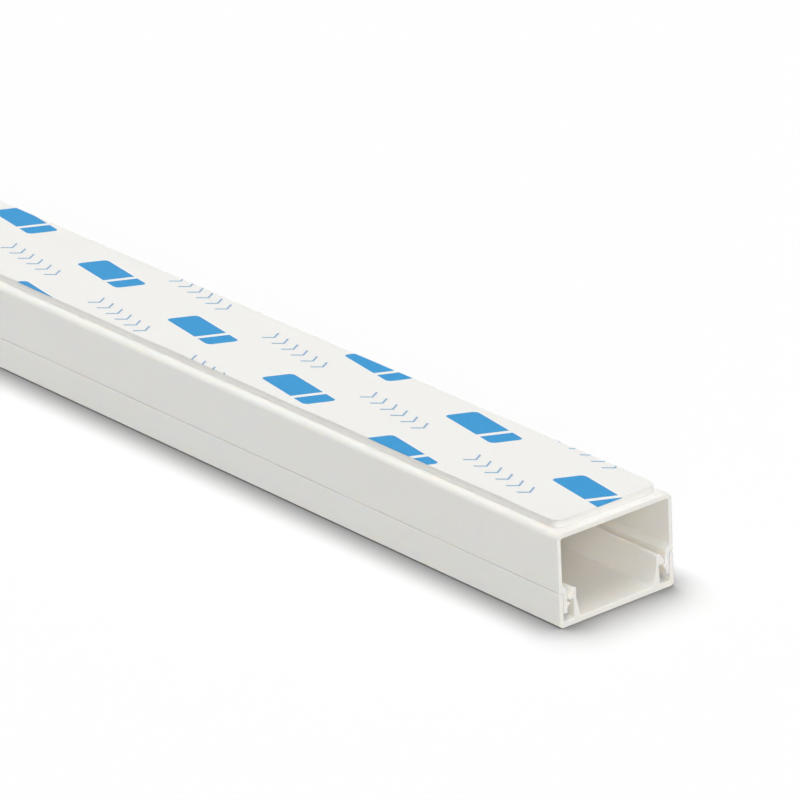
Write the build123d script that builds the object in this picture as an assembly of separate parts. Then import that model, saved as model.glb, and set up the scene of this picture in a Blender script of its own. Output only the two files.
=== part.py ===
from build123d import *
import os

# A self-adhesive cord cover raceway, lying on its cover's face with its adhesive back up.
# Millimetres. X runs along the stick, Y across it and Z up, and the origin is the centre
# of the face that it lies on. Every section is drawn for the +Y side and mirrored.

# The stick
stick_length = 400.0
stick_width = 25.0
stick_height = 17.0

# The channel's back and its walls
back_thickness = 0.95
back_corner_radius = 1.1
back_fillet_radius = 0.35
wall_thickness = 0.75
wall_foot_radius = 0.15

# The channel's leg, set in behind the cover's flange
seam_gap = 0.05
seam_drop = 0.45
shoulder_start = 0.35
shoulder_rise = 0.9
shoulder_radius = 0.35
leg_clearance = 0.1
leg_thickness = 0.8
leg_floor_gap = 1.3
leg_tip_radius = 0.3

# The bead on the leg, which catches under the cover's hook
bead_reach = 0.5
bead_lead_in = 0.7
bead_land = 0.3
bead_back_slope = 0.12
bead_radius = 0.15
catch_clearance = 0.12

# The cover's face and its outer flanges
cover_thickness = 1.1
cover_corner_radius = 0.7
flange_height = 6.4
flange_thickness = 0.8
flange_rim_drop = 0.45
flange_rim_radius = 0.2
root_fillet_radius = 0.3

# The cover's hooked legs
hook_slot_width = 2.3
hook_height = 6.6
hook_root_thickness = 1.3
hook_neck_thickness = 0.6
hook_head_height = 2.05
nose_reach = 1.1
nose_slope = 0.15
nose_land = 0.6
crest_width = 0.75
nose_radius = 0.25
crest_radius = 0.4
hook_root_fillet = 0.6

# The mounting tape and the sheet that covers its adhesive
tape_width = 22.0
tape_end_margin = 1.65
tape_corner_radius = 1.8
foam_thickness = 1.4
liner_thickness = 0.1

half_width = stick_width / 2

# The channel's section, measured across from the middle
wall_inside = half_width - wall_thickness
leg_outside = half_width - flange_thickness - leg_clearance
leg_inside = leg_outside - leg_thickness

# The cover's section, measured the same way
flange_inside = half_width - flange_thickness
hook_outside = flange_inside - hook_slot_width
hook_root_inside = hook_outside - hook_root_thickness
hook_neck_inside = hook_outside - hook_neck_thickness
nose_tip = hook_outside + nose_reach
nose_bottom = hook_height - hook_head_height


def mirrored_section(half_outline):
    """The face whose +Y half runs through (y, z, corner radius), in the plane across X."""
    half = list(half_outline)
    other_half = [(-y, z, radius) for y, z, radius in reversed(half)]
    corners = half + other_half
    points = [(y, z) for y, z, radius in corners]
    radii = [radius for y, z, radius in corners]
    return Plane.YZ * make_face(FilletPolyline(*points, radius=radii, close=True))


def extruded_stick(section):
    """The section run out to both ends of the stick."""
    return extrude(section, amount=stick_length / 2, both=True)


def base_channel():
    """The channel: back, side walls, and the legs that reach down behind the flanges."""
    seam_top = flange_height + seam_gap
    shoulder_bottom = seam_top + shoulder_start
    leg_bottom = cover_thickness + leg_floor_gap
    bead_top = nose_bottom - catch_clearance
    bead_tip = leg_inside - bead_reach
    bead_land_top = bead_top - bead_back_slope
    bead_land_bottom = bead_land_top - bead_land
    return extruded_stick(mirrored_section([
        (half_width, stick_height, back_corner_radius),
        (half_width, seam_top, wall_foot_radius),
        (leg_outside, seam_top - seam_drop, 0),
        (leg_outside, leg_bottom, leg_tip_radius),
        (leg_inside, leg_bottom, leg_tip_radius),
        (leg_inside, bead_land_bottom - bead_lead_in, 0),
        (bead_tip, bead_land_bottom, bead_radius),
        (bead_tip, bead_land_top, bead_radius),
        (leg_inside, bead_top, 0),
        (leg_inside, shoulder_bottom, shoulder_radius),
        (wall_inside, shoulder_bottom + shoulder_rise, shoulder_radius),
        (wall_inside, stick_height - back_thickness, back_fillet_radius),
    ]))


def snap_cover():
    """The cover: face, outer flanges and the hooked legs inside them."""
    crest_inside = hook_neck_inside
    crest_outside = crest_inside + crest_width
    nose_land_bottom = nose_bottom + nose_slope
    nose_land_top = nose_land_bottom + nose_land
    return extruded_stick(mirrored_section([
        (hook_root_inside, cover_thickness, hook_root_fillet),
        (hook_neck_inside, nose_bottom, 0),
        (crest_inside, hook_height, crest_radius),
        (crest_outside, hook_height, crest_radius),
        (nose_tip, nose_land_top, nose_radius),
        (nose_tip, nose_land_bottom, nose_radius),
        (hook_outside, nose_bottom, 0),
        (hook_outside, cover_thickness, root_fillet_radius),
        (flange_inside, cover_thickness, root_fillet_radius),
        (flange_inside, flange_height - flange_rim_drop, flange_rim_radius),
        (half_width, flange_height, flange_rim_radius),
        (half_width, 0, cover_corner_radius),
    ]))


def strip_on_back(bottom, thickness):
    """A strip with rounded corners along the back, from the height bottom upwards."""
    strip_length = stick_length - 2 * tape_end_margin
    outline = RectangleRounded(strip_length, tape_width, tape_corner_radius)
    return Pos(0, 0, bottom) * extrude(outline, amount=thickness)


nodes = {
    "base_channel": base_channel(),
    "snap_cover": snap_cover(),
    "foam_tape": strip_on_back(stick_height, foam_thickness),
    "release_liner": strip_on_back(stick_height + foam_thickness, liner_thickness),
}

os.makedirs("parts", exist_ok=True)
for name, solid in nodes.items():
    export_step(solid, f"parts/{name}.step")
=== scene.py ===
import math

import bpy
from mathutils import Matrix, Vector


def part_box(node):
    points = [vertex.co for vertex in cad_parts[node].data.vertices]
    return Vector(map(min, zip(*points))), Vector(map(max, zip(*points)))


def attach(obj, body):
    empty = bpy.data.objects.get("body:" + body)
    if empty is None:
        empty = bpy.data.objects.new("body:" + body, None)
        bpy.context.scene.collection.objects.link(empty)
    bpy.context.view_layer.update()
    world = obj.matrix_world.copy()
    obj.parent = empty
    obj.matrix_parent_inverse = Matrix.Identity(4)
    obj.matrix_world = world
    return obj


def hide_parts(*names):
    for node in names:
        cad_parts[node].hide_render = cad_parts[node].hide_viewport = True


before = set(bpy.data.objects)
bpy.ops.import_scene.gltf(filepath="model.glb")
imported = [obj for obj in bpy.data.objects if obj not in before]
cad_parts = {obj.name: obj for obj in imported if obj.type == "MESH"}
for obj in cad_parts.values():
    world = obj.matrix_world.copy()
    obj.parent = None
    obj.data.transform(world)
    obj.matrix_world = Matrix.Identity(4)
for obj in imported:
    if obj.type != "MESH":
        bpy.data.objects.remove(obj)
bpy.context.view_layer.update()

# A white cord cover raceway that lies on its cover's face, with its adhesive back up.
# X runs along the stick, Y across it and Z up, in metres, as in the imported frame.

MM = 0.001

channel_low, channel_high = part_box("base_channel")
foam_low, foam_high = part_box("foam_tape")
liner_low, liner_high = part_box("release_liner")


# Small tools for modelling

# Points nearer than this are one point, and faces that turn by less than this are one face.
same_point = 0.001 * MM
same_plane = math.radians(0.2)


def alone(piece):
    """Leaves one piece selected and active, in object mode."""
    if bpy.context.mode != "OBJECT":
        bpy.ops.object.mode_set(mode="OBJECT")
    bpy.ops.object.select_all(action="DESELECT")
    piece.select_set(True)
    bpy.context.view_layer.objects.active = piece


def blank_from(node_name, piece_name):
    """A new piece with a node's shape, its loose triangles merged and joined into whole faces."""
    piece = bpy.data.objects.new(piece_name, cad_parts[node_name].data.copy())
    bpy.context.collection.objects.link(piece)
    piece.data.name = piece_name
    alone(piece)
    bpy.ops.object.mode_set(mode="EDIT")
    bpy.ops.mesh.customdata_custom_splitnormals_clear()
    bpy.ops.mesh.select_all(action="SELECT")
    bpy.ops.mesh.remove_doubles(threshold=same_point)
    bpy.ops.mesh.dissolve_limited(angle_limit=same_plane)
    bpy.ops.mesh.normals_make_consistent(inside=False)
    bpy.ops.mesh.select_all(action="DESELECT")
    bpy.ops.object.mode_set(mode="OBJECT")
    return piece


def cut_into_steps(piece, low, high, counts):
    """Slices a piece's faces so that the box from low to high is parted into equal steps, with a
    count for each axis, and leaves the piece whole."""
    alone(piece)
    bpy.ops.object.mode_set(mode="EDIT")
    for axis, count in enumerate(counts):
        normal = [0, 0, 0]
        normal[axis] = 1
        for step in range(1, count):
            point = [0, 0, 0]
            point[axis] = low[axis] + (high[axis] - low[axis]) * step / count
            bpy.ops.mesh.select_all(action="SELECT")
            bpy.ops.mesh.bisect(plane_co=point, plane_no=normal)
    bpy.ops.object.mode_set(mode="OBJECT")


def weighted_group(piece, name, weight_at):
    """A vertex group whose weight at each vertex is what weight_at gives for its place."""
    group = piece.vertex_groups.new(name=name)
    for vertex in piece.data.vertices:
        weight = weight_at(vertex.co)
        if weight > 0:
            group.add([vertex.index], weight, "REPLACE")


def applied(piece, kind, settings):
    """Adds a modifier with its settings and applies it."""
    alone(piece)
    modifier = piece.modifiers.new(kind.title(), kind)
    for name, value in settings.items():
        setattr(modifier, name, value)
    bpy.ops.object.modifier_apply(modifier=modifier.name)


def finished(piece, material, smooth_up_to):
    """Gives a piece its one material, and smooth shading wherever its faces turn by less than
    smooth_up_to, in degrees."""
    alone(piece)
    bpy.ops.object.shade_smooth_by_angle(angle=math.radians(smooth_up_to))
    piece.data.materials.clear()
    piece.data.materials.append(material)


# Materials


def linear(hex_colour):
    """An sRGB hex colour as linear RGBA."""
    parts = [int(hex_colour[at:at + 2], 16) / 255 for at in (1, 3, 5)]
    return [p / 12.92 if p <= 0.04045 else ((p + 0.055) / 1.055) ** 2.4 for p in parts] + [1.0]


def add_node(tree, kind, settings=None, inputs=None):
    """Adds a node, sets its properties, and gives each of its inputs a value or a link."""
    node = tree.nodes.new(kind)
    for name, value in (settings or {}).items():
        setattr(node, name, value)
    for name, value in (inputs or {}).items():
        if isinstance(value, bpy.types.NodeSocket):
            tree.links.new(value, node.inputs[name])
        else:
            node.inputs[name].default_value = value
    return node


def new_material(name):
    """An empty node material and its tree."""
    material = bpy.data.materials.new(name)
    material.use_nodes = True
    material.node_tree.nodes.clear()
    return material, material.node_tree


def satin_white_pvc(name):
    """Extruded rigid PVC: an even, slightly warm white with a satin surface, which lets a little
    light into its thin walls, so that the inside glows softly. The die leaves very faint straight
    lines along the stick, and the saw leaves fine slanted marks on the cut ends."""
    material, tree = new_material(name)
    die_line_spacing = 0.55 * MM
    die_line_length = 60 * MM
    cloud_size = 35 * MM
    # Real saw marks are about 0.1 mm apart, and these are drawn coarser so that they show.
    saw_mark_spacing = 0.3 * MM
    saw_mark_length = 7.5 * MM
    saw_mark_slant = math.radians(24)
    mark_depth = 0.03 * MM
    light_depth = 0.35 * MM
    # How squarely a face looks along the stick where the sawn finish begins, and where it is whole
    sawn_begins = 0.7
    sawn_whole = 0.95

    place = add_node(tree, "ShaderNodeTexCoord")
    lines_at = add_node(tree, "ShaderNodeMapping", inputs={
        "Vector": place.outputs["Object"],
        "Scale": (1 / die_line_length, 1 / die_line_spacing, 1 / die_line_spacing)})
    die_lines = add_node(tree, "ShaderNodeTexNoise", inputs={
        "Vector": lines_at.outputs["Vector"], "Scale": 1.0, "Detail": 2.0, "Roughness": 0.6})
    clouds = add_node(tree, "ShaderNodeTexNoise", inputs={
        "Vector": place.outputs["Object"], "Scale": 1 / cloud_size, "Detail": 3.0})
    marks_at = add_node(tree, "ShaderNodeMapping", inputs={
        "Vector": place.outputs["Object"],
        "Rotation": (saw_mark_slant, 0, 0),
        "Scale": (1 / saw_mark_spacing, 1 / saw_mark_length, 1 / saw_mark_spacing)})
    saw_marks = add_node(tree, "ShaderNodeTexNoise", inputs={
        "Vector": marks_at.outputs["Vector"], "Scale": 1.0, "Detail": 3.0, "Roughness": 0.65})

    facing = add_node(tree, "ShaderNodeSeparateXYZ", inputs={"Vector": place.outputs["Normal"]})
    endwise = add_node(tree, "ShaderNodeMath", {"operation": "ABSOLUTE"}, {0: facing.outputs["X"]})
    sawn = add_node(tree, "ShaderNodeMapRange", {"interpolation_type": "SMOOTHSTEP"}, {
        "Value": endwise.outputs[0], "From Min": sawn_begins, "From Max": sawn_whole})

    drawn_tone = add_node(tree, "ShaderNodeMix", {"data_type": "RGBA"}, {
        0: clouds.outputs["Fac"], 6: linear("#F7F3ED"), 7: linear("#FAF7F2")})
    sawn_tone = add_node(tree, "ShaderNodeMix", {"data_type": "RGBA"}, {
        0: saw_marks.outputs["Fac"], 6: linear("#F0EDE7"), 7: linear("#F8F6F1")})
    tone = add_node(tree, "ShaderNodeMix", {"data_type": "RGBA"}, {
        0: sawn.outputs[0], 6: drawn_tone.outputs[2], 7: sawn_tone.outputs[2]})
    drawn_roughness = add_node(tree, "ShaderNodeMapRange", inputs={
        "Value": die_lines.outputs["Fac"], "To Min": 0.46, "To Max": 0.58})
    sawn_roughness = add_node(tree, "ShaderNodeMapRange", inputs={
        "Value": saw_marks.outputs["Fac"], "To Min": 0.55, "To Max": 0.8})
    roughness = add_node(tree, "ShaderNodeMix", {"data_type": "FLOAT"}, {
        0: sawn.outputs[0], 2: drawn_roughness.outputs[0], 3: sawn_roughness.outputs[0]})
    height = add_node(tree, "ShaderNodeMix", {"data_type": "FLOAT"}, {
        0: sawn.outputs[0], 2: die_lines.outputs["Fac"], 3: saw_marks.outputs["Fac"]})
    relief = add_node(tree, "ShaderNodeBump", inputs={
        "Height": height.outputs[0], "Strength": 0.18, "Distance": mark_depth})
    plastic = add_node(tree, "ShaderNodeBsdfPrincipled", inputs={
        "Base Color": tone.outputs[2], "Roughness": roughness.outputs[0],
        "Normal": relief.outputs["Normal"], "IOR": 1.54, "Subsurface Weight": 1.0,
        "Subsurface Radius": (1.0, 0.9, 0.75), "Subsurface Scale": light_depth})
    add_node(tree, "ShaderNodeOutputMaterial", inputs={"Surface": plastic.outputs["BSDF"]})
    return material


def closed_cell_foam():
    """Cut polyethylene foam tape: dull white, its cut sides pitted with closed cells, and a thin
    greyer line of adhesive at its top and its bottom."""
    material, tree = new_material("closed_cell_foam")
    # Real cells are about 0.15 mm across, and these are drawn coarser so that they show.
    cell_size = 0.32 * MM
    pit_depth = 0.03 * MM
    adhesive_line = 0.07 * MM
    # A cell's pit, from its floor to its rim, in parts of the cell's size
    pit_floor = 0.1
    pit_rim = 0.55

    place = add_node(tree, "ShaderNodeTexCoord")
    cells = add_node(tree, "ShaderNodeTexVoronoi", {"feature": "F1"}, {
        "Vector": place.outputs["Object"], "Scale": 1 / cell_size})
    pits = add_node(tree, "ShaderNodeMapRange", {"interpolation_type": "SMOOTHSTEP"}, {
        "Value": cells.outputs["Distance"], "From Min": pit_floor, "From Max": pit_rim})
    foam_tone = add_node(tree, "ShaderNodeMix", {"data_type": "RGBA"}, {
        0: pits.outputs[0], 6: linear("#F7F5F1"), 7: linear("#F3F2EE")})
    spot = add_node(tree, "ShaderNodeSeparateXYZ", inputs={"Vector": place.outputs["Object"]})
    on_back = add_node(tree, "ShaderNodeMapRange", inputs={
        "Value": spot.outputs["Z"], "From Min": foam_low.z, "From Max": foam_low.z + adhesive_line,
        "To Min": 1.0, "To Max": 0.0})
    under_liner = add_node(tree, "ShaderNodeMapRange", inputs={
        "Value": spot.outputs["Z"], "From Min": foam_high.z - 2 * adhesive_line,
        "From Max": foam_high.z - adhesive_line})
    adhesive = add_node(tree, "ShaderNodeMath", {"operation": "MAXIMUM"}, {
        0: on_back.outputs[0], 1: under_liner.outputs[0]})
    tone = add_node(tree, "ShaderNodeMix", {"data_type": "RGBA"}, {
        0: adhesive.outputs[0], 6: foam_tone.outputs[2], 7: linear("#F2F0EB")})
    relief = add_node(tree, "ShaderNodeBump", inputs={
        "Height": pits.outputs[0], "Strength": 0.3, "Distance": pit_depth})
    foam = add_node(tree, "ShaderNodeBsdfPrincipled", inputs={
        "Base Color": tone.outputs[2], "Roughness": 0.85, "Normal": relief.outputs["Normal"]})
    add_node(tree, "ShaderNodeOutputMaterial", inputs={"Surface": foam.outputs["BSDF"]})
    return material


# The liner's print, in millimetres: rows of bars with rows of arrowheads between them, all slanted
row_slope = math.radians(8)
row_spacing = 8.4
print_repeat = 34.0
bar_shift = (13.0, 5.6)
run_shift = 14.5


def print_spot(tree, print_at):
    """A place's X and Y in the print's repeat, counted from the middle of the mark in it."""
    in_repeat = add_node(tree, "ShaderNodeVectorMath", {"operation": "WRAP"}, {
        0: print_at, 1: (print_repeat / 2, row_spacing, 1), 2: (-print_repeat / 2, -row_spacing, -1)})
    return add_node(tree, "ShaderNodeSeparateXYZ", inputs={"Vector": in_repeat.outputs[0]})


def broken_bars(tree, print_at):
    """Where the bold bars are: each leans, has round corners, and is broken by a slanted gap."""
    half_length = 7.6
    half_height = 2.7
    corner = 0.9
    lean = 0.36
    gap_middle = 3.4
    gap_half_width = 0.55
    ink_spread = 0.04

    spot = print_spot(tree, print_at)
    leaning = add_node(tree, "ShaderNodeMath", {"operation": "MULTIPLY_ADD"}, {
        0: spot.outputs["Y"], 1: -lean, 2: spot.outputs["X"]})
    upright = add_node(tree, "ShaderNodeCombineXYZ", inputs={
        "X": leaning.outputs[0], "Y": spot.outputs["Y"]})
    off_middle = add_node(tree, "ShaderNodeVectorMath", {"operation": "ABSOLUTE"}, {
        0: upright.outputs[0]})
    past_flat = add_node(tree, "ShaderNodeVectorMath", {"operation": "SUBTRACT"}, {
        0: off_middle.outputs[0], 1: (half_length - corner, half_height - corner, 0)})
    past_corner = add_node(tree, "ShaderNodeVectorMath", {"operation": "MAXIMUM"}, {
        0: past_flat.outputs[0], 1: (0, 0, 0)})
    out_of_bar = add_node(tree, "ShaderNodeVectorMath", {"operation": "LENGTH"}, {
        0: past_corner.outputs[0]})
    bar = add_node(tree, "ShaderNodeMapRange", {"interpolation_type": "SMOOTHSTEP"}, {
        "Value": out_of_bar.outputs["Value"], "From Min": corner - ink_spread,
        "From Max": corner + ink_spread, "To Min": 1.0, "To Max": 0.0})
    gap = add_node(tree, "ShaderNodeMath", {"operation": "COMPARE"}, {
        0: leaning.outputs[0], 1: gap_middle, 2: gap_half_width})
    broken = add_node(tree, "ShaderNodeMath", {"operation": "SUBTRACT", "use_clamp": True}, {
        0: bar.outputs[0], 1: gap.outputs[0]})
    return broken.outputs[0]


def arrow_runs(tree, print_at):
    """Where the thin arrowheads are, in short runs along their rows."""
    half_length = 10.2
    half_height = 1.7
    pitch = 3.4
    rake = 0.8
    half_line = 0.25

    spot = print_spot(tree, print_at)
    off_row = add_node(tree, "ShaderNodeMath", {"operation": "ABSOLUTE"}, {0: spot.outputs["Y"]})
    raked = add_node(tree, "ShaderNodeMath", {"operation": "MULTIPLY_ADD"}, {
        0: off_row.outputs[0], 1: rake, 2: spot.outputs["X"]})
    in_arrow = add_node(tree, "ShaderNodeMath", {"operation": "FLOORED_MODULO"}, {
        0: raked.outputs[0], 1: pitch})
    stroke = add_node(tree, "ShaderNodeMath", {"operation": "COMPARE"}, {
        0: in_arrow.outputs[0], 1: pitch / 2, 2: half_line})
    in_length = add_node(tree, "ShaderNodeMath", {"operation": "COMPARE"}, {
        0: raked.outputs[0], 1: 0.0, 2: half_length})
    in_height = add_node(tree, "ShaderNodeMath", {"operation": "LESS_THAN"}, {
        0: off_row.outputs[0], 1: half_height})
    stroke_in_length = add_node(tree, "ShaderNodeMath", {"operation": "MULTIPLY"}, {
        0: stroke.outputs[0], 1: in_length.outputs[0]})
    arrowhead = add_node(tree, "ShaderNodeMath", {"operation": "MULTIPLY"}, {
        0: stroke_in_length.outputs[0], 1: in_height.outputs[0]})
    return arrowhead.outputs[0]


def printed_release_paper():
    """Silicone-coated release paper: a smooth ivory white with faint fibre clouds, printed in slanted
    rows, where bold blue broken bars take turns with runs of thin pale blue arrowheads."""
    material, tree = new_material("printed_release_paper")
    fibre_size = 0.5 * MM
    fibre_depth = 0.02 * MM
    cockle_size = 26 * MM
    cockle_depth = 1.0 * MM
    ink_speckle = 0.35 * MM

    place = add_node(tree, "ShaderNodeTexCoord")
    bars_at = add_node(tree, "ShaderNodeMapping", inputs={
        "Vector": place.outputs["Object"], "Location": (*bar_shift, 0),
        "Rotation": (0, 0, row_slope), "Scale": (1 / MM, 1 / MM, 0)})
    runs_at = add_node(tree, "ShaderNodeMapping", inputs={
        "Vector": bars_at.outputs[0], "Location": (run_shift, row_spacing, 0)})
    fibres = add_node(tree, "ShaderNodeTexNoise", inputs={
        "Vector": place.outputs["Object"], "Scale": 1 / fibre_size, "Detail": 3.0})
    paper = add_node(tree, "ShaderNodeMix", {"data_type": "RGBA"}, {
        0: fibres.outputs["Fac"], 6: linear("#F7F6F2"), 7: linear("#FBFAF7")})
    speckle = add_node(tree, "ShaderNodeTexNoise", inputs={
        "Vector": place.outputs["Object"], "Scale": 1 / ink_speckle, "Detail": 2.0})
    bold_ink = add_node(tree, "ShaderNodeMix", {"data_type": "RGBA"}, {
        0: speckle.outputs["Fac"], 6: linear("#1C8FD0"), 7: linear("#38A4DE")})
    with_arrows = add_node(tree, "ShaderNodeMix", {"data_type": "RGBA"}, {
        0: arrow_runs(tree, runs_at.outputs[0]), 6: paper.outputs[2], 7: linear("#86AECF")})
    printed = add_node(tree, "ShaderNodeMix", {"data_type": "RGBA"}, {
        0: broken_bars(tree, bars_at.outputs[0]), 6: with_arrows.outputs[2], 7: bold_ink.outputs[2]})
    cockles = add_node(tree, "ShaderNodeTexNoise", inputs={
        "Vector": place.outputs["Object"], "Scale": 1 / cockle_size, "Detail": 1.0})
    waves = add_node(tree, "ShaderNodeBump", inputs={
        "Height": cockles.outputs["Fac"], "Strength": 0.25, "Distance": cockle_depth})
    grain = add_node(tree, "ShaderNodeBump", inputs={
        "Height": fibres.outputs["Fac"], "Strength": 0.12, "Distance": fibre_depth,
        "Normal": waves.outputs["Normal"]})
    sheet = add_node(tree, "ShaderNodeBsdfPrincipled", inputs={
        "Base Color": printed.outputs[2], "Roughness": 0.5, "IOR": 1.45,
        "Specular IOR Level": 0.25, "Normal": grain.outputs["Normal"]})
    add_node(tree, "ShaderNodeOutputMaterial", inputs={"Surface": sheet.outputs["BSDF"]})
    return material


# The two extrusions


def sawn_extrusion(node_name, piece_name, body, material):
    """An extruded node whose sawn ends have their sharp edges rubbed off, as trimming leaves them."""
    rubbed_edge = 0.1 * MM
    piece = blank_from(node_name, piece_name)
    at_end = max(abs(vertex.co.x) for vertex in piece.data.vertices) - same_point
    alone(piece)
    bpy.ops.object.mode_set(mode="EDIT")
    bpy.ops.mesh.select_mode(type="EDGE")
    bpy.ops.object.mode_set(mode="OBJECT")
    for edge in piece.data.edges:
        places = [piece.data.vertices[index].co.x for index in edge.vertices]
        edge.select = min(places) > at_end or max(places) < -at_end
    bpy.ops.object.mode_set(mode="EDIT")
    bpy.ops.mesh.bevel(offset=rubbed_edge, segments=2, affect="EDGES", clamp_overlap=False)
    bpy.ops.mesh.select_all(action="DESELECT")
    bpy.ops.mesh.select_mode(type="VERT")
    bpy.ops.object.mode_set(mode="OBJECT")
    finished(piece, material, smooth_up_to=46)
    applied(piece, "WEIGHTED_NORMAL", {"mode": "FACE_AREA", "weight": 80, "keep_sharp": True})
    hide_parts(node_name)
    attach(piece, body)
    return piece


channel = sawn_extrusion("base_channel", "channel_extrusion", "channel",
                         satin_white_pvc("satin_white_pvc_channel"))
cover = sawn_extrusion("snap_cover", "cover_extrusion", "cover",
                       satin_white_pvc("satin_white_pvc_cover"))


# The foam tape and its liner

tape_corner = 1.8 * MM
steps_along = 220
# The liner lies this much lower than its node, so that its wavy edge stays below the node's top.
liner_drop = 0.1 * MM
foam_top = liner_low.z - liner_drop


def edge_distance(place):
    """How far a place is inside the tape's rounded outline."""
    past_x = abs(place.x) - (foam_high.x - tape_corner)
    past_y = abs(place.y) - (foam_high.y - tape_corner)
    if past_x > 0 and past_y > 0:
        return tape_corner - math.hypot(past_x, past_y)
    return tape_corner - max(past_x, past_y)


def soft_clouds(name, size):
    """A soft random pattern whose lumps are about size across."""
    texture = bpy.data.textures.new(name, "CLOUDS")
    texture.noise_scale = size
    texture.noise_depth = 1
    return texture


def foam_strip():
    """The foam tape, with cut sides that pull in at half height and aren't quite straight."""
    waist_depth = 0.08 * MM
    on_outline = 0.01 * MM
    # Each unevenness of the cut sides: its name, the size of its lumps and its depth
    unevenness = (("slow_wander", 9 * MM, 0.16 * MM), ("torn_cells", 1.4 * MM, 0.1 * MM))
    # Above a half, so that the sides go further in than out
    mostly_in = 0.75
    steps_across = 14
    steps_up = 6
    height = foam_top - foam_low.z
    flattened = height / (foam_high.z - foam_low.z)

    def cut_side(place):
        """1 on the cut sides, and 0 everywhere else."""
        return 1.0 if edge_distance(place) < on_outline else 0.0

    def waist(place):
        """1 halfway up the cut sides, and 0 at their top and their bottom."""
        up = (place.z - foam_low.z) / height
        return 4 * up * (1 - up) * cut_side(place)

    piece = blank_from("foam_tape", "foam_strip")
    cut_into_steps(piece, foam_low, foam_high, (steps_along, steps_across, steps_up))
    bpy.ops.object.mode_set(mode="EDIT")
    bpy.ops.mesh.select_all(action="SELECT")
    bpy.ops.transform.resize(value=(1, 1, flattened), center_override=(0, 0, foam_low.z))
    bpy.ops.object.mode_set(mode="OBJECT")
    weighted_group(piece, "waist", waist)
    weighted_group(piece, "cut_side", cut_side)
    applied(piece, "DISPLACE", {"vertex_group": "waist", "strength": -waist_depth, "mid_level": 0.0,
                                "direction": "NORMAL"})
    for name, size, depth in unevenness:
        applied(piece, "DISPLACE", {"vertex_group": "cut_side", "strength": depth,
                                    "mid_level": mostly_in, "direction": "NORMAL",
                                    "texture": soft_clouds(name, size), "texture_coords": "LOCAL"})
    finished(piece, closed_cell_foam(), smooth_up_to=50)
    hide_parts("foam_tape")
    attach(piece, "channel")
    return piece


def printed_liner():
    """The release liner: a thin sheet whose edge waves up and down a little along the tape."""
    wavy_band = 3.5 * MM
    wave_size = 11 * MM
    # From trough to crest, so that the edge goes up and down by no more than the liner's drop
    wave_height = 2 * liner_drop
    steps_across = 16

    def near_edge(place):
        """1 at the edge, less further in, and 0 past the wavy band."""
        inside = max(edge_distance(place), 0.0) / wavy_band
        return max(1 - inside, 0.0) ** 2

    piece = blank_from("release_liner", "printed_liner")
    cut_into_steps(piece, liner_low, liner_high, (steps_along, steps_across, 1))
    bpy.ops.object.mode_set(mode="EDIT")
    bpy.ops.mesh.select_all(action="SELECT")
    bpy.ops.transform.translate(value=(0, 0, -liner_drop))
    bpy.ops.object.mode_set(mode="OBJECT")
    weighted_group(piece, "near_edge", near_edge)
    applied(piece, "DISPLACE", {"vertex_group": "near_edge", "strength": wave_height,
                                "mid_level": 0.5, "direction": "Z",
                                "texture": soft_clouds("edge_waves", wave_size),
                                "texture_coords": "LOCAL"})
    finished(piece, printed_release_paper(), smooth_up_to=40)
    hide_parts("release_liner")
    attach(piece, "channel")
    return piece


foam = foam_strip()
liner = printed_liner()


# Floor, light and camera

plain_white = linear("#FFFFFF")


def seen_directly(tree):
    """Whether a ray shows the studio itself, to the camera, in a gloss or through something clear,
    and doesn't only carry its light to the object."""
    rays = add_node(tree, "ShaderNodeLightPath")
    camera_or_gloss = add_node(tree, "ShaderNodeMath", {"operation": "MAXIMUM"}, {
        0: rays.outputs["Is Camera Ray"], 1: rays.outputs["Is Glossy Ray"]})
    seen = add_node(tree, "ShaderNodeMath", {"operation": "MAXIMUM"}, {
        0: camera_or_gloss.outputs[0], 1: rays.outputs["Is Transmission Ray"]})
    return seen.outputs[0]


def studio_floor():
    """A plain floor that the lamps light up to white, with the soft shadow kept, and with shade
    painted into its colour close round whatever stands on it. It gives the object an even light from
    below, and it shows nothing from under it."""
    floor_width = 6.0
    below_cover = 0.02 * MM
    # Where something stands on the floor or just over it, shade is painted into the floor's colour
    # this far round it.
    contact_reach = 6.5 * MM
    # The floor's own glow, in parts of full white, as it is seen and as it lights the object
    seen_glow = 0.06
    bounce = 0.60
    bpy.ops.object.select_all(action="DESELECT")
    bpy.ops.mesh.primitive_plane_add(size=floor_width, location=(0, 0, -below_cover))
    floor = bpy.context.active_object
    floor.name = "studio_floor"
    material, tree = new_material("white_studio_floor")
    # The floor's grey paint, with painted shade that darkens it where the object is near.
    floor_tone_with_painted_shade = add_node(tree, "ShaderNodeAmbientOcclusion", {"samples": 8}, {
        "Color": linear("#A8A8A8"), "Distance": contact_reach})
    paint = add_node(tree, "ShaderNodeBsdfDiffuse", inputs={"Color": floor_tone_with_painted_shade.outputs["Color"]})
    glow = add_node(tree, "ShaderNodeEmission", inputs={"Color": plain_white, "Strength": seen_glow})
    shown = add_node(tree, "ShaderNodeAddShader", inputs={0: paint.outputs[0], 1: glow.outputs[0]})
    bounced = add_node(tree, "ShaderNodeEmission", inputs={"Color": plain_white, "Strength": bounce})
    either = add_node(tree, "ShaderNodeMixShader", inputs={
        0: seen_directly(tree), 1: bounced.outputs[0], 2: shown.outputs[0]})
    clear = add_node(tree, "ShaderNodeBsdfTransparent")
    side = add_node(tree, "ShaderNodeNewGeometry")
    one_sided = add_node(tree, "ShaderNodeMixShader", inputs={
        0: side.outputs["Backfacing"], 1: either.outputs[0], 2: clear.outputs[0]})
    add_node(tree, "ShaderNodeOutputMaterial", inputs={"Surface": one_sided.outputs[0]})
    floor.data.materials.append(material)
    return floor


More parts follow.
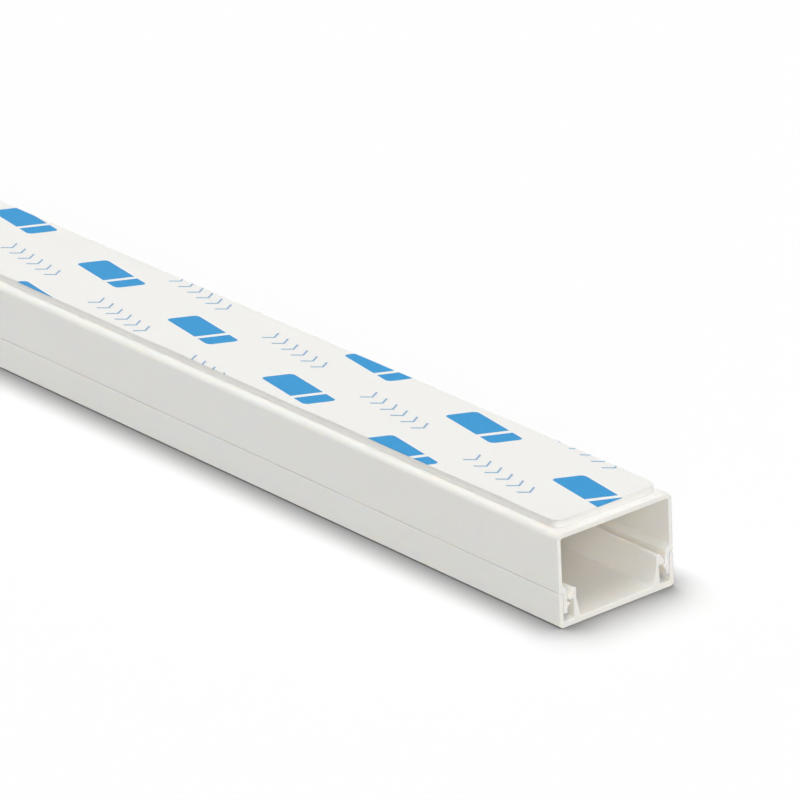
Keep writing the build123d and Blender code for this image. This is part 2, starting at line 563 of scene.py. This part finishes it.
def studio_world():
    """An even soft light from all round, behind which the camera sees plain white."""
    ambient = 0.31
    world = bpy.data.worlds.new("soft_studio")
    world.use_nodes = True
    tree = world.node_tree
    tree.nodes.clear()
    strength = add_node(tree, "ShaderNodeMapRange", inputs={
        "Value": seen_directly(tree), "To Min": ambient, "To Max": 1.0})
    light = add_node(tree, "ShaderNodeBackground", inputs={
        "Color": plain_white, "Strength": strength.outputs[0]})
    add_node(tree, "ShaderNodeOutputWorld", inputs={"Surface": light.outputs[0]})
    bpy.context.scene.world = world


def soft_lamp(name, towards, share, spread):
    """A broad soft white lamp far off in the direction towards, which covers spread degrees of the
    sky. Share is the part of full white that it gives a face turned straight to it."""
    lamp = bpy.data.lights.new(name, "SUN")
    lamp.energy = share * math.pi
    lamp.angle = math.radians(spread)
    holder = bpy.data.objects.new(name, lamp)
    holder.rotation_mode = "QUATERNION"
    holder.rotation_quaternion = Vector(towards).to_track_quat("Z", "Y")
    bpy.context.collection.objects.link(holder)
    return holder


def lights_only(lamp, things):
    """Lets a lamp light nothing but the things given, though everything still shades them."""
    lit_things = bpy.data.collections.new(lamp.name + "_lights")
    for thing in things:
        lit_things.objects.link(thing)
    lamp.light_linking.receiver_collection = lit_things


def photograph_camera():
    """The camera at the photograph's viewing angle, found from the stick's edges in it."""
    frame_pixels = 800
    # The cut end's near lower corner, in the photograph's pixels from its upper left
    corner_across = 560.68
    corner_down = 629.46
    corner = Vector((channel_high.x, channel_low.y, 0.0))
    azimuth = math.radians(38.03)
    elevation = math.radians(22.80)
    roll = math.radians(-2.82)
    distance = 984.71 * MM
    focal_pixels = 5971.13
    sensor_width = 36.0
    level = math.cos(elevation)
    forward = Vector((-math.cos(azimuth) * level, math.sin(azimuth) * level, -math.sin(elevation)))
    flat_right = forward.cross(Vector((0, 0, 1))).normalized()
    flat_up = flat_right.cross(forward)
    right = flat_right * math.cos(roll) + flat_up * math.sin(roll)
    up = -flat_right * math.sin(roll) + flat_up * math.cos(roll)
    per_pixel = distance / focal_pixels
    spot = corner - forward * distance
    spot = spot - right * ((corner_across - frame_pixels / 2) * per_pixel)
    spot = spot + up * ((corner_down - frame_pixels / 2) * per_pixel)
    camera = bpy.data.cameras.new("photograph_camera")
    camera.sensor_width = sensor_width
    camera.lens = focal_pixels * sensor_width / frame_pixels
    camera.clip_start = 0.05
    camera.clip_end = 20.0
    holder = bpy.data.objects.new("photograph_camera", camera)
    bpy.context.collection.objects.link(holder)
    turned = Matrix((right, up, -forward)).transposed().to_4x4()
    holder.matrix_world = Matrix.Translation(spot) @ turned
    bpy.context.scene.camera = holder


floor = studio_floor()
studio_world()
# The key lights the object alone and the shadow lamp the floor alone, so the floor comes up to
# white with its shadow while the object stays at a plain level.
high_key = soft_lamp("high_key", towards=(0.10, 0.00, 0.99), share=0.47, spread=44)
soft_lamp("low_front_fill", towards=(0.80, -0.46, 0.36), share=0.40, spread=36)
shadow_lamp = soft_lamp("shadow_lamp", towards=(-0.22, 0.07, 0.97), share=1.98, spread=46)
lights_only(high_key, [channel, cover, foam, liner])
lights_only(shadow_lamp, [floor])
photograph_camera()
bpy.context.scene.view_settings.view_transform = "Standard"

# The white walls inside the stick pass light on many times.
bpy.context.scene.cycles.diffuse_bounces = 12
bpy.context.scene.cycles.max_bounces = 16
